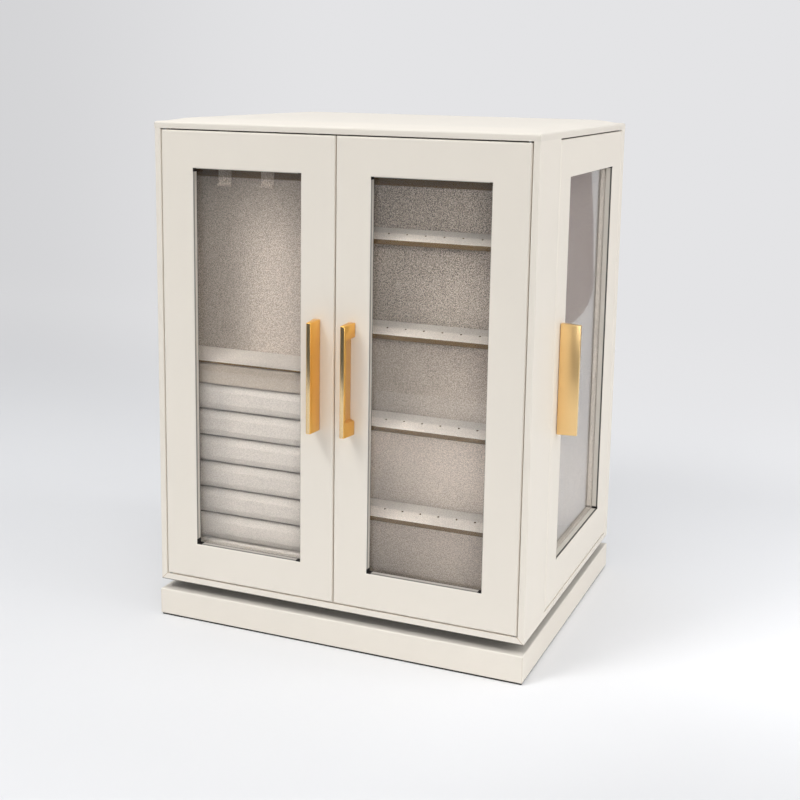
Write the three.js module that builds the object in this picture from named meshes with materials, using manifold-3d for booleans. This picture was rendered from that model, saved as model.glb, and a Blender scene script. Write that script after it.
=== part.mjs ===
// Turning earring cabinet: a wrapped case with two front doors and two side doors on a plinth.
// Millimetres, +Z up. The origin is on the turning axis, on the surface that the plinth stands on.
// The doors face -Y, so +X is on the right of someone who looks at the front doors.
import * as THREE from 'three';
import { mergeVertices } from 'three/addons/utils/BufferGeometryUtils.js';
import Module from 'manifold-3d';

const wasm = await Module();
wasm.setup();

// Case and its boards
const caseWidth = 260;
const caseDepth = 214;
const caseHeight = 312.4;
const boardThickness = 4.5;
const partitionThickness = 6;
const dividerThickness = 4.8;
const liningThickness = 1.5;
const wrapRadius = 0.9;
const wrapCorner = 0.35;
const topCrown = 2.3;
const crownReach = 12;
const frontSideWidth = 44;
const rearStripWidth = 9;
const rearPostDepth = 12;
const displayDepth = 19.8;

// Plinth and its felt
const plinthWidth = 260;
const plinthDepth = 216;
const plinthThickness = 18;
const feltThickness = 1;
const feltInset = 0.8;

// Flat ball bearing between the plinth and the case
const bearingPlateSide = 100;
const bearingPlateCorner = 8;
const bearingPlateThickness = 1.5;
const bearingBallRadius = 1.5;
const bearingBallCount = 16;
const bearingTrackRadius = 36;
const bearingCageWidth = 3.6;
const bearingCageThickness = 1;
const rivetRadius = 5;
const rivetHeadRadius = 8;
const rivetHeadThickness = 1;

// Doors
const doorThickness = 11;
const doorRevealDepth = 4.5;
const doorStile = 23.8;
const doorRail = 24.4;
const sideDoorStile = 24.6;
const sideDoorFootRail = 27;
const doorEdgeRadius = 1.2;
const doorSideGap = 0.5;
const doorMiddleGap = 0.6;
const doorHeadGap = 0.8;
const doorFootGap = 0.6;
const glassThickness = 2;
const rebateWidth = 9;
const retainerSetback = 4.2;
const pivotInset = 1.9;
const pinRadius = 1;
const pinDoorLength = 6;
const pinBoardLength = 2.8;

// Pulls
const pullHeight = 72;
const pullMiddleHeight = 181.7;
const pullStandoff = 13.3;
const pullWidth = 4.9;
const pullPlateThickness = 2.1;
const pullRimThickness = 2;
const pullFootHeight = 9;
const pullEndDraft = 0.4;
const pullPlateDraft = 0.4;
const pullOpenDraft = 1.4;
const pullPocketFlare = 1.3;
const frontPullInset = 9.4;
const sidePullInset = 11.3;

// Stud shelves in the right bay
const shelfCount = 4;
const shelfPitch = 60;
const lowestShelfHeight = 89.3;
const shelfThickness = 3.6;
const shelfTilt = 15.4;
const shelfEdgeRadius = 0.5;
const studHoleRadius = 0.7;
const studHoleCount = 9;
const studHoleMargin = 10.15;

// Shelf and ring cushion in the left bay
const ringShelfHeight = 179.6;
const ringShelfThickness = 1.6;
const ringRollCount = 6;
const ringPitch = 18.15;
const ringFootHeight = 55;
const ringRollCrown = 5.5;
const ringRollEndRound = 1.5;

// Hanging tabs in the left bay
const tabCount = 3;
const tabPitch = 32;
const tabWidth = 9.2;
const tabThickness = 1.2;
const tabDrop = 38.5;
const tabLip = 3.4;

// Clearances and the one overrun of all cuts
const seatGap = 0.3;
const displayFrontGap = 2;
const cutOverrun = 1;
const curveSteps = 4;
const holeSteps = 10;

// Heights and faces that follow from the sizes above
const plinthTop = feltThickness + plinthThickness;
const bearingHeight = 2 * bearingPlateThickness + 2 * bearingBallRadius + 2 * seatGap;
const caseFoot = plinthTop + bearingHeight;
const caseTop = caseFoot + caseHeight;
const floorHeight = caseFoot + boardThickness;
const ceilingHeight = caseTop - boardThickness;
const frontFace = -caseDepth / 2;
const backFace = caseDepth / 2;
const flankFace = caseWidth / 2;
const innerFlank = flankFace - boardThickness;
const displayFront = frontFace + doorThickness + displayFrontGap;
const displayBack = displayFront + displayDepth + seatGap;
const partitionFront = displayBack + liningThickness;
const partitionBack = partitionFront + partitionThickness;
const backPanelFront = backFace - boardThickness;
const sideOpeningFront = frontFace + frontSideWidth;
const sideOpeningBack = backFace - rearStripWidth;
const dividerFace = dividerThickness / 2;
const bayInner = dividerFace + liningThickness + seatGap;
const bayOuter = innerFlank - liningThickness - seatGap;
const bayMiddle = (bayInner + bayOuter) / 2;
const bayWidth = bayOuter - bayInner;

const colours = {
  leather: { color: 0xe6e0d4, roughness: 0.55, metalness: 0 },
  velvet: { color: 0xa99f93, roughness: 0.95, metalness: 0 },
  felt: { color: 0x2b2826, roughness: 1, metalness: 0 },
  glass: { color: 0xdfe6e6, roughness: 0.05, metalness: 0, transparent: true, opacity: 0.3 },
  gold: { color: 0xd9a45c, roughness: 0.3, metalness: 1 },
  steel: { color: 0xb8babd, roughness: 0.35, metalness: 1 },
};

// Turns a closed geometry into a solid that can be joined or cut.
function solidOf(geometry) {
  const bare = geometry.index ? geometry.toNonIndexed() : geometry.clone();
  bare.deleteAttribute('normal');
  bare.deleteAttribute('uv');
  const merged = mergeVertices(bare);
  return new wasm.Manifold(new wasm.Mesh({
    numProp: 3,
    vertProperties: new Float32Array(merged.attributes.position.array),
    triVerts: new Uint32Array(merged.index.array),
  }));
}

function geometryOf(solid) {
  const mesh = solid.getMesh();
  const geometry = new THREE.BufferGeometry();
  geometry.setAttribute('position', new THREE.BufferAttribute(new Float32Array(mesh.vertProperties), mesh.numProp));
  geometry.setIndex(new THREE.BufferAttribute(new Uint32Array(mesh.triVerts), 1));
  return geometry;
}

function cut(geometry, ...tools) {
  return geometryOf(tools.reduce((rest, tool) => rest.subtract(solidOf(tool)), solidOf(geometry)));
}

function join(geometry, ...others) {
  return geometryOf(others.reduce((sum, other) => sum.add(solidOf(other)), solidOf(geometry)));
}

// A box between two corners.
function block(low, high) {
  const size = high.map((value, axis) => value - low[axis]);
  const geometry = new THREE.BoxGeometry(...size);
  return geometry.translate(...low.map((value, axis) => value + size[axis] / 2));
}

// A rectangle with rounded corners; radii run from the low corner anticlockwise, and zero leaves a corner square.
function roundedRectangle(x0, y0, x1, y1, radii) {
  const corners = [[x0, y0, 1, 1], [x1, y0, -1, 1], [x1, y1, -1, -1], [x0, y1, 1, -1]];
  const points = [];
  corners.forEach(([x, y, inX, inY], corner) => {
    const radius = radii[corner];
    if (radius === 0) {
      points.push(new THREE.Vector2(x, y));
      return;
    }
    for (let step = 0; step <= curveSteps; step += 1) {
      const angle = Math.PI + (Math.PI / 2) * (corner + step / curveSteps);
      const centreX = x + inX * radius;
      const centreY = y + inY * radius;
      points.push(new THREE.Vector2(centreX + radius * Math.cos(angle), centreY + radius * Math.sin(angle)));
    }
  });
  return new THREE.Shape(points);
}

// A shape in X and Y, raised from one height to another.
function prismZ(shape, low, high) {
  const geometry = new THREE.ExtrudeGeometry(shape, { depth: high - low, bevelEnabled: false });
  return geometry.translate(0, 0, low);
}

// A shape drawn in Y and Z, run along X from one place to another.
function prismX(shape, low, high) {
  const geometry = new THREE.ExtrudeGeometry(shape, { depth: high - low, bevelEnabled: false });
  geometry.applyMatrix4(new THREE.Matrix4().makeBasis(
    new THREE.Vector3(0, 1, 0), new THREE.Vector3(0, 0, 1), new THREE.Vector3(1, 0, 0)));
  return geometry.translate(low, 0, 0);
}

// A plate drawn in two axes, with both faces' edges rounded and an optional window.
function softPlate(width, height, thickness, radius, hole) {
  const shape = roundedRectangle(0, 0, width, height, [0, 0, 0, 0]);
  if (hole) {
    shape.holes.push(roundedRectangle(hole.x0, hole.y0, hole.x1, hole.y1, [0, 0, 0, 0]));
  }
  const geometry = new THREE.ExtrudeGeometry(shape, {
    depth: thickness - 2 * radius,
    bevelEnabled: true,
    bevelThickness: radius,
    bevelSize: radius,
    bevelOffset: -radius,
    bevelSegments: curveSteps,
  });
  return geometry.translate(0, 0, radius);
}

function cylinderZ(radius, low, high, x, y, steps) {
  const geometry = new THREE.CylinderGeometry(radius, radius, high - low, steps);
  geometry.rotateX(Math.PI / 2);
  return geometry.translate(x, y, (low + high) / 2);
}

// A stack of closed loops of equal count, skinned and capped.
function loft(loops) {
  const count = loops[0].length;
  const positions = loops.flat(2);
  const index = [];
  for (let row = 0; row + 1 < loops.length; row += 1) {
    for (let column = 0; column < count; column += 1) {
      const next = (column + 1) % count;
      const a = row * count + column;
      const b = row * count + next;
      index.push(a, b, b + count, a, b + count, a + count);
    }
  }
  const lastRow = (loops.length - 1) * count;
  for (let column = 1; column + 1 < count; column += 1) {
    index.push(0, column + 1, column);
    index.push(lastRow, lastRow + column, lastRow + column + 1);
  }
  const geometry = new THREE.BufferGeometry();
  geometry.setAttribute('position', new THREE.BufferAttribute(new Float32Array(positions), 3));
  geometry.setIndex(index);
  return geometry;
}

const cabinet = new THREE.Group();

function add(name, geometry, finish, parent = cabinet) {
  const mesh = new THREE.Mesh(geometry, new THREE.MeshStandardMaterial(colours[finish]));
  mesh.name = name;
  parent.add(mesh);
  return mesh;
}

// Plinth with a well for the rivet's lower head, and the felt that it stands on.
function buildPlinth() {
  const halfWidth = plinthWidth / 2;
  const halfDepth = plinthDepth / 2;
  const body = softPlate(plinthWidth, plinthDepth, plinthThickness, wrapRadius);
  body.translate(-halfWidth, -halfDepth, feltThickness);
  const wellFloor = plinthTop - rivetHeadThickness - 2 * seatGap;
  const well = cylinderZ(rivetHeadRadius + 2 * seatGap, wellFloor, plinthTop + cutOverrun, 0, 0, 4 * holeSteps);
  add('plinth_board', cut(body, well), 'leather');
  add('plinth_felt', block(
    [feltInset - halfWidth, feltInset - halfDepth, 0],
    [halfWidth - feltInset, halfDepth - feltInset, feltThickness]), 'felt');
}

// Two plates, the ball ring between them and the rivet that holds them together.
function buildBearing() {
  const half = bearingPlateSide / 2;
  const corners = [bearingPlateCorner, bearingPlateCorner, bearingPlateCorner, bearingPlateCorner];
  const outline = () => {
    const shape = roundedRectangle(-half, -half, half, half, corners);
    const eye = new THREE.Path();
    eye.absarc(0, 0, rivetRadius + seatGap, 0, 2 * Math.PI, true);
    shape.holes.push(eye);
    return shape;
  };
  const plate = (low) => {
    const geometry = new THREE.ExtrudeGeometry(outline(), {
      depth: bearingPlateThickness, bevelEnabled: false, curveSegments: 2 * holeSteps });
    return geometry.translate(0, 0, low);
  };
  add('bearing_lower_plate', plate(plinthTop), 'steel');
  add('bearing_upper_plate', plate(caseFoot - bearingPlateThickness), 'steel');

  const middle = plinthTop + bearingPlateThickness + seatGap + bearingBallRadius;
  const inner = bearingTrackRadius - bearingCageWidth / 2;
  const outer = bearingTrackRadius + bearingCageWidth / 2;
  const section = [[inner, -1], [outer, -1], [outer, 1], [inner, 1], [inner, -1]].map(
    ([radius, side]) => new THREE.Vector2(radius, side * bearingCageThickness / 2));
  const cage = new THREE.LatheGeometry(section, 4 * holeSteps).rotateX(Math.PI / 2).translate(0, 0, middle);
  const balls = [];
  for (let ball = 0; ball < bearingBallCount; ball += 1) {
    const angle = (2 * Math.PI * ball) / bearingBallCount;
    const sphere = new THREE.SphereGeometry(bearingBallRadius, holeSteps, holeSteps / 2);
    sphere.rotateX(Math.PI / 2);
    sphere.translate(bearingTrackRadius * Math.cos(angle), bearingTrackRadius * Math.sin(angle), middle);
    balls.push(sphere);
  }
  add('bearing_ball_ring', join(cage, ...balls), 'steel');

  const headLow = plinthTop - seatGap - rivetHeadThickness;
  const headHigh = caseFoot + seatGap + rivetHeadThickness;
  const profile = [
    [0, headLow], [rivetHeadRadius, headLow], [rivetHeadRadius, headLow + rivetHeadThickness],
    [rivetRadius, headLow + rivetHeadThickness], [rivetRadius, headHigh - rivetHeadThickness],
    [rivetHeadRadius, headHigh - rivetHeadThickness], [rivetHeadRadius, headHigh], [0, headHigh],
  ].map(([radius, height]) => new THREE.Vector2(radius, height));
  add('bearing_rivet', new THREE.LatheGeometry(profile, 2 * holeSteps).rotateX(Math.PI / 2), 'steel');
}

// Pivot axes in plan: [x, y] of each door's two pins.
const pivots = {
  front_left: [-(innerFlank - doorSideGap - pivotInset), frontFace + pivotInset],
  front_right: [innerFlank - doorSideGap - pivotInset, frontFace + pivotInset],
  side_left: [-(flankFace - pivotInset), sideOpeningBack - doorSideGap - pivotInset],
  side_right: [flankFace - pivotInset, sideOpeningBack - doorSideGap - pivotInset],
};

function pivotHoles(low, high) {
  return Object.values(pivots).map(([x, y]) => cylinderZ(pinRadius + seatGap, low, high, x, y, holeSteps));
}

// Crowned top: loops climb the wrapped edge and then follow the padding's crown to the middle.
function crownedTop() {
  const loops = [];
  const rectangle = (inset, height) => {
    const radius = Math.max(wrapRadius - inset, wrapCorner);
    const shape = roundedRectangle(
      inset - flankFace, inset + frontFace, flankFace - inset, backFace - inset, [radius, radius, radius, radius]);
    return shape.getPoints(1).slice(0, 4 * (curveSteps + 1)).map((point) => [point.x, point.y, height]);
  };
  loops.push(rectangle(0, ceilingHeight));
  for (let step = 0; step <= curveSteps; step += 1) {
    const angle = (Math.PI / 2) * (step / curveSteps);
    loops.push(rectangle(wrapRadius * (1 - Math.cos(angle)), caseTop - wrapRadius * (1 - Math.sin(angle))));
  }
  const crownShares = [0.12, 0.27, 0.45, 0.7, 1];
  crownShares.forEach((share) => {
    const rise = topCrown * (1 - (1 - share) ** 2);
    loops.push(rectangle(wrapRadius + share * crownReach, caseTop + rise));
  });
  return loft(loops);
}

// Boards that are glued into the case.
function buildCase() {
  const rivetWell = cylinderZ(rivetHeadRadius + 2 * seatGap, caseFoot - cutOverrun,
    caseFoot + rivetHeadThickness + 2 * seatGap, 0, 0, 4 * holeSteps);
  const pinWellFloor = floorHeight - pinBoardLength - seatGap;
  const pinWellRoof = ceilingHeight + pinBoardLength + seatGap;

  const floorLoops = [];
  for (let step = 0; step <= curveSteps; step += 1) {
    const angle = (Math.PI / 2) * (step / curveSteps);
    const inset = wrapRadius * (1 - Math.sin(angle));
    const radius = Math.max(wrapRadius - inset, wrapCorner);
    const shape = roundedRectangle(
      inset - flankFace, inset + frontFace, flankFace - inset, backFace - inset, [radius, radius, radius, radius]);
    const height = caseFoot + wrapRadius * (1 - Math.cos(angle));
    floorLoops.push(shape.getPoints(1).slice(0, 4 * (curveSteps + 1)).map((point) => [point.x, point.y, height]));
  }
  floorLoops.push(floorLoops[curveSteps].map(([x, y]) => [x, y, floorHeight]));
  add('case_bottom', cut(loft(floorLoops), rivetWell, ...pivotHoles(pinWellFloor, floorHeight + cutOverrun)), 'leather');
  add('case_top', cut(crownedTop(), ...pivotHoles(ceilingHeight - cutOverrun, pinWellRoof)), 'leather');

  const upright = (shape) => prismZ(shape, floorHeight, ceilingHeight);
  add('case_back', upright(roundedRectangle(
    -flankFace, backPanelFront, flankFace, backFace, [0, 0, wrapRadius, wrapRadius])), 'leather');
  add('case_front_side_left', upright(roundedRectangle(
    -flankFace, frontFace, -innerFlank, sideOpeningFront, [wrapRadius, wrapRadius, 0, wrapRadius])), 'leather');
  add('case_front_side_right', upright(roundedRectangle(
    innerFlank, frontFace, flankFace, sideOpeningFront, [wrapRadius, wrapRadius, wrapRadius, 0])), 'leather');
  add('case_rear_post_left', upright(roundedRectangle(
    -flankFace, sideOpeningBack, rearPostDepth - flankFace, backPanelFront, [wrapRadius, 0, 0, 0])), 'leather');
  add('case_rear_post_right', upright(roundedRectangle(
    flankFace - rearPostDepth, sideOpeningBack, flankFace, backPanelFront, [0, wrapRadius, 0, 0])), 'leather');
  add('partition', upright(roundedRectangle(
    -innerFlank, partitionFront, innerFlank, partitionBack, [0, 0, 0, 0])), 'velvet');
  add('front_divider', upright(roundedRectangle(
    -dividerFace, displayFront, dividerFace, partitionFront, [0, 0, 0, 0])), 'velvet');
  add('rear_divider', upright(roundedRectangle(
    -dividerFace, partitionBack, dividerFace, backPanelFront, [0, 0, 0, 0])), 'velvet');
}

// Folded linings: each is three walls of one bay, drawn for the right-hand side and mirrored for the left.
function buildLinings() {
  const mirrored = (points, side) => new THREE.Shape(
    (side > 0 ? points : [...points].reverse()).map(([x, y]) => new THREE.Vector2(side * x, y)));
  const displayOutline = [
    [dividerFace, displayFront], [dividerFace + liningThickness, displayFront],
    [dividerFace + liningThickness, displayBack], [innerFlank - liningThickness, displayBack],
    [innerFlank - liningThickness, displayFront], [innerFlank, displayFront],
    [innerFlank, partitionFront], [dividerFace, partitionFront],
  ];
  const wingEnd = flankFace - doorThickness - 2 * seatGap;
  const postFace = flankFace - rearPostDepth;
  const sideOutline = [
    [dividerFace, partitionBack], [wingEnd, partitionBack], [wingEnd, partitionBack + liningThickness],
    [dividerFace + liningThickness, partitionBack + liningThickness],
    [dividerFace + liningThickness, backPanelFront - liningThickness],
    [postFace, backPanelFront - liningThickness], [postFace, backPanelFront], [dividerFace, backPanelFront],
  ];
  [['left', -1], ['right', 1]].forEach(([name, side]) => {
    add(`display_lining_${name}`, prismZ(mirrored(displayOutline, side), floorHeight, ceilingHeight), 'velvet');
    add(`side_lining_${name}`, prismZ(mirrored(sideOutline, side), floorHeight, ceilingHeight), 'velvet');
  });
}

const tiltAngle = THREE.MathUtils.degToRad(shelfTilt);

// A board that leans forward: its upper front edge lies at the given height on the display's front plane.
function leaningBoard(name, x0, thickness, edgeHeight, holes) {
  const length = displayDepth / Math.cos(tiltAngle) - thickness * Math.tan(tiltAngle);
  const shape = roundedRectangle(0, 0, bayWidth, length, [0, 0, 0, 0]);
  holes.forEach((x) => {
    const hole = new THREE.Path();
    hole.absarc(x, length / 2, studHoleRadius, 0, 2 * Math.PI, true);
    shape.holes.push(hole);
  });
  const geometry = new THREE.ExtrudeGeometry(shape, {
    depth: thickness - 2 * shelfEdgeRadius,
    bevelEnabled: true,
    bevelThickness: shelfEdgeRadius,
    bevelSize: shelfEdgeRadius,
    bevelOffset: -shelfEdgeRadius,
    bevelSegments: 2,
    curveSegments: holeSteps / 2,
  });
  geometry.translate(0, 0, shelfEdgeRadius - thickness);
  const board = add(name, geometry, 'velvet');
  board.rotation.x = tiltAngle;
  board.position.set(x0, displayFront, edgeHeight);
}

function buildStudShelves() {
  const pitch = (bayWidth - 2 * studHoleMargin) / (studHoleCount - 1);
  const holes = Array.from({ length: studHoleCount }, (_, hole) => studHoleMargin + hole * pitch);
  for (let shelf = 0; shelf < shelfCount; shelf += 1) {
    leaningBoard(`stud_shelf_${shelf + 1}`, bayInner, shelfThickness, lowestShelfHeight + shelf * shelfPitch, holes);
  }
}

// Ring cushion: a foot strip, rolls that a ring's shank slips between, and a head strip under the leaning shelf.
function buildRingCushion() {
  leaningBoard('ring_shelf', -bayOuter, ringShelfThickness, ringShelfHeight, []);
  const back = displayFront + displayDepth;
  const footLow = floorHeight + seatGap;
  const rollsTop = ringFootHeight + ringRollCount * ringPitch;
  add('ring_foot_strip', prismX(new THREE.Shape([
    new THREE.Vector2(displayFront, footLow), new THREE.Vector2(back, footLow),
    new THREE.Vector2(back, ringFootHeight - seatGap), new THREE.Vector2(displayFront, ringFootHeight - seatGap),
  ]), -bayOuter, -bayInner), 'velvet');

  const shelfUnderside = ringShelfHeight - ringShelfThickness / Math.cos(tiltAngle) - 2 * seatGap;
  add('ring_head_strip', prismX(new THREE.Shape([
    new THREE.Vector2(displayFront, rollsTop), new THREE.Vector2(back, rollsTop),
    new THREE.Vector2(back, shelfUnderside + displayDepth * Math.tan(tiltAngle)),
    new THREE.Vector2(displayFront, shelfUnderside),
  ]), -bayOuter, -bayInner), 'velvet');

  const rollHeight = ringPitch - seatGap;
  for (let roll = 0; roll < ringRollCount; roll += 1) {
    const low = ringFootHeight + roll * ringPitch;
    add(`ring_roll_${roll + 1}`, ringRoll(low, rollHeight, back), 'velvet');
  }
}

// One roll: its section has a crowned front, and the section draws in over the last stretch at both ends.
function ringRoll(low, height, back) {
  const profileSteps = 2 * curveSteps + 2;
  const section = (shrink) => {
    const points = [];
    for (let step = 0; step <= profileSteps; step += 1) {
      const turn = Math.PI * (step / profileSteps);
      const bulge = Math.sqrt(Math.sin(turn));
      const y = displayFront + ringRollCrown * (1 - bulge);
      const z = low + height / 2 - (height / 2 - shrink) * Math.cos(turn);
      points.push([y + shrink, z]);
    }
    points.push([back - shrink, low + height - shrink], [back - shrink, low + shrink]);
    return points;
  };
  const loops = [];
  const ends = [];
  for (let step = 0; step <= curveSteps; step += 1) {
    const angle = (Math.PI / 2) * (step / curveSteps);
    ends.push([ringRollEndRound * (1 - Math.sin(angle)), ringRollEndRound * (1 - Math.cos(angle))]);
  }
  ends.forEach(([shrink, along]) => loops.push(section(shrink).map(([y, z]) => [along - bayOuter, y, z])));
  [...ends].reverse().forEach(([shrink, along]) => {
    loops.push(section(shrink).map(([y, z]) => [-bayInner - along, y, z]));
  });
  return loft(loops.map((loop) => [...loop].reverse()));
}

// Tabs that chains hang from: a strip down the lining that turns up into a lip.
function buildTabs() {
  const stripBack = displayBack - seatGap;
  const bend = tabLip / 2;
  const centreY = stripBack - bend;
  const centreZ = ceilingHeight - tabDrop + bend;
  const arc = (radius, from, to) => Array.from({ length: 2 * curveSteps + 1 }, (_, step) => {
    const angle = from + (to - from) * (step / (2 * curveSteps));
    return new THREE.Vector2(centreY + radius * Math.cos(angle), centreZ + radius * Math.sin(angle));
  });
  const shape = new THREE.Shape([
    new THREE.Vector2(stripBack, ceilingHeight - seatGap),
    new THREE.Vector2(stripBack - tabThickness, ceilingHeight - seatGap),
    ...arc(bend - tabThickness, 0, -Math.PI),
    ...arc(bend, -Math.PI, 0),
  ].reverse());
  for (let tab = 0; tab < tabCount; tab += 1) {
    const middle = (tab - (tabCount - 1) / 2) * tabPitch - bayMiddle;
    add(`chain_tab_${tab + 1}`, prismX(shape, middle - tabWidth / 2, middle + tabWidth / 2), 'velvet');
  }
}

// A door lies flat while it is made: width along X, height along Y, front face up at zero, thickness downwards.
function buildDoor(name, size, placement, pullFromLeft) {
  const { width, stile, footRail, pullInset } = size;
  const low = floorHeight + doorFootGap;
  const height = ceilingHeight - doorHeadGap - low;
  const window = { x0: stile, y0: footRail, x1: width - stile, y1: height - doorRail };
  const door = new THREE.Group();
  placement(door, low);
  cabinet.add(door);

  const frame = softPlate(width, height, doorThickness, doorEdgeRadius, window).translate(0, 0, -doorThickness);
  const rebate = block(
    [window.x0 - rebateWidth, window.y0 - rebateWidth, -doorThickness - cutOverrun],
    [window.x1 + rebateWidth, window.y1 + rebateWidth, -doorRevealDepth]);
  const pinX = pullFromLeft ? width - pivotInset : pivotInset;
  const upright = (radius, from, to) => {
    const geometry = new THREE.CylinderGeometry(radius, radius, to - from, holeSteps);
    return geometry.translate(pinX, (from + to) / 2, -pivotInset);
  };
  const boreRadius = pinRadius + seatGap;
  const boreDepth = pinDoorLength + seatGap;
  const footBore = upright(boreRadius, -cutOverrun, boreDepth);
  const headBore = upright(boreRadius, height - boreDepth, height + cutOverrun);
  add(`${name}_frame`, cut(frame, rebate, footBore, headBore), 'leather', door);

  const seatWidth = rebateWidth - seatGap;
  const glassFront = -doorRevealDepth - seatGap;
  const glassBack = glassFront - glassThickness;
  add(`${name}_glass`, block(
    [window.x0 - seatWidth, window.y0 - seatWidth, glassBack],
    [window.x1 + seatWidth, window.y1 + seatWidth, glassFront]), 'glass', door);

  const retainerWidth = window.x1 - window.x0 + 2 * seatWidth;
  const retainerHeight = window.y1 - window.y0 + 2 * seatWidth;
  const strip = seatWidth - retainerSetback;
  const retainerWindow = { x0: strip, y0: strip, x1: retainerWidth - strip, y1: retainerHeight - strip };
  const retainer = softPlate(
    retainerWidth, retainerHeight, doorThickness + glassBack - seatGap, shelfEdgeRadius, retainerWindow);
  retainer.translate(window.x0 - seatWidth, window.y0 - seatWidth, -doorThickness);
  add(`${name}_retainer`, retainer, 'velvet', door);

  add(`${name}_pin_foot`, upright(pinRadius, -doorFootGap - pinBoardLength, pinDoorLength), 'steel', door);
  add(`${name}_pin_head`, upright(pinRadius, height - pinDoorLength, height + doorHeadGap + pinBoardLength),
    'steel', door);

  const handle = pull().translate(pullInset, pullMiddleHeight - low, seatGap);
  add(`${name}_pull`, pullFromLeft ? handle : mirroredAcross(handle, width), 'gold', door);
}

// A pull: a full plate towards the door's free edge, a rim along its front, a foot at each end, and draft all round.
function pull() {
  const half = pullHeight / 2;
  const standoff = pullStandoff - seatGap;
  const level = (draftShare, height) => {
    const left = draftShare * pullPlateDraft;
    const right = pullWidth - draftShare * pullOpenDraft;
    const end = half - draftShare * pullEndDraft;
    return [[left, -end, height], [right, -end, height], [right, end, height], [left, end, height]];
  };
  const rise = standoff - pullRimThickness;
  const pocketEnd = (x, end) => [
    [x, -end, -cutOverrun], [x, end, -cutOverrun], [x, end, rise], [x, -end, rise]];
  const openEnd = half - pullFootHeight;
  const pocket = loft([
    pocketEnd(pullPlateThickness, openEnd - pullPocketFlare), pocketEnd(pullWidth, openEnd)]);
  return cut(loft([level(0, 0), level(1, standoff)]), pocket);
}

// The same solid mirrored about the door's middle line, with its faces turned the right way again.
function mirroredAcross(geometry, width) {
  const mirrored = geometry.clone().scale(-1, 1, 1).translate(width, 0, 0);
  const index = mirrored.index.array;
  for (let face = 0; face < index.length; face += 3) {
    [index[face + 1], index[face + 2]] = [index[face + 2], index[face + 1]];
  }
  return mirrored;
}

function buildDoors() {
  const frontSize = {
    width: innerFlank - doorSideGap - doorMiddleGap / 2,
    stile: doorStile, footRail: doorRail, pullInset: frontPullInset };
  const sideSize = {
    width: sideOpeningBack - sideOpeningFront - 2 * doorSideGap,
    stile: sideDoorStile, footRail: sideDoorFootRail, pullInset: sidePullInset };
  buildDoor('front_door_left', frontSize, (door, low) => {
    door.rotation.x = Math.PI / 2;
    door.position.set(doorSideGap - innerFlank, frontFace, low);
  }, false);
  buildDoor('front_door_right', frontSize, (door, low) => {
    door.rotation.x = Math.PI / 2;
    door.position.set(doorMiddleGap / 2, frontFace, low);
  }, true);
  buildDoor('side_door_right', sideSize, (door, low) => {
    door.rotation.set(Math.PI / 2, Math.PI / 2, 0);
    door.position.set(flankFace, sideOpeningFront + doorSideGap, low);
  }, true);
  buildDoor('side_door_left', sideSize, (door, low) => {
    door.rotation.set(Math.PI / 2, -Math.PI / 2, 0);
    door.position.set(-flankFace, sideOpeningBack - doorSideGap, low);
  }, false);
}

buildPlinth();
buildBearing();
buildCase();
buildLinings();
buildStudShelves();
buildRingCushion();
buildTabs();
buildDoors();

export default cabinet;
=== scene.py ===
"""Looks for a turning earring cabinet, laid out as an add-on and run as a script."""
import math
import random

import bmesh
import bpy
from mathutils import Matrix, Vector


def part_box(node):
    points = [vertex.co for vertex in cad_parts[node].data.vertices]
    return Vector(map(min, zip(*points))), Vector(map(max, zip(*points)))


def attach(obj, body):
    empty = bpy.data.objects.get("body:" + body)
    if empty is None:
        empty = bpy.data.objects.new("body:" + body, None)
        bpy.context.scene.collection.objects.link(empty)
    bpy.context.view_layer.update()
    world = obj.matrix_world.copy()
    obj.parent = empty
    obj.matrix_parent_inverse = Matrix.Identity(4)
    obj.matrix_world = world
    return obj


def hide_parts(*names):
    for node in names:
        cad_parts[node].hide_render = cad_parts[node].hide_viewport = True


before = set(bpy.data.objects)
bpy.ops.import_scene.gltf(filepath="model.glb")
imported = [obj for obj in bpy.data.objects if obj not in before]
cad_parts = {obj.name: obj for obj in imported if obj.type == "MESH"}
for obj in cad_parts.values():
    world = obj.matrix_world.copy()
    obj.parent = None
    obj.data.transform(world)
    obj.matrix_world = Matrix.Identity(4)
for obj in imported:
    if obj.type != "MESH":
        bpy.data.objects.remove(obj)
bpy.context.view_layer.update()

bl_info = {
    "name": "Turning earring cabinet",
    "version": (1, 0, 0),
    "blender": (4, 5, 0),
    "location": "3D View > Sidebar > Cabinet",
    "description": "Dresses the solids of a turning earring cabinet and lights them",
    "category": "Object",
}

FRONT_DOORS = ("front_door_left", "front_door_right")
SIDE_DOORS = ("side_door_right", "side_door_left")
DOORS = FRONT_DOORS + SIDE_DOORS
ROLLS = tuple(f"ring_roll_{number}" for number in range(1, 7))
TABS = tuple(f"chain_tab_{number}" for number in range(1, 4))
SHELVES = tuple(f"stud_shelf_{number}" for number in range(1, 5))
CASE_FRONT = ("case_bottom", "case_front_side_left", "case_front_side_right")
CASE_REST = ("case_back", "case_rear_post_left", "case_rear_post_right")
BEARING = ("bearing_lower_plate", "bearing_upper_plate", "bearing_ball_ring", "bearing_rivet")
COOL_TINT = (1.0, 1.06, 1.11)

# Each lamp's name, azimuth and height in degrees, distance and size in metres, and watts
LAMPS = (
    ("key_lamp", (-32, 50), 1.7, (0.5, 0.5), 8.4),
    ("fill_lamp", (-30, 42), 1.7, (0.9, 0.9), 5.6),
    ("low_lamp", (28, 14.5), 2.2, (1.1, 0.12), 12.5),
    ("flank_lamp", (95, 30), 1.7, (0.9, 0.9), 8.2),
    ("right_lamp", (95, 12), 1.9, (1.0, 0.4), 3.4),
)

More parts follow.
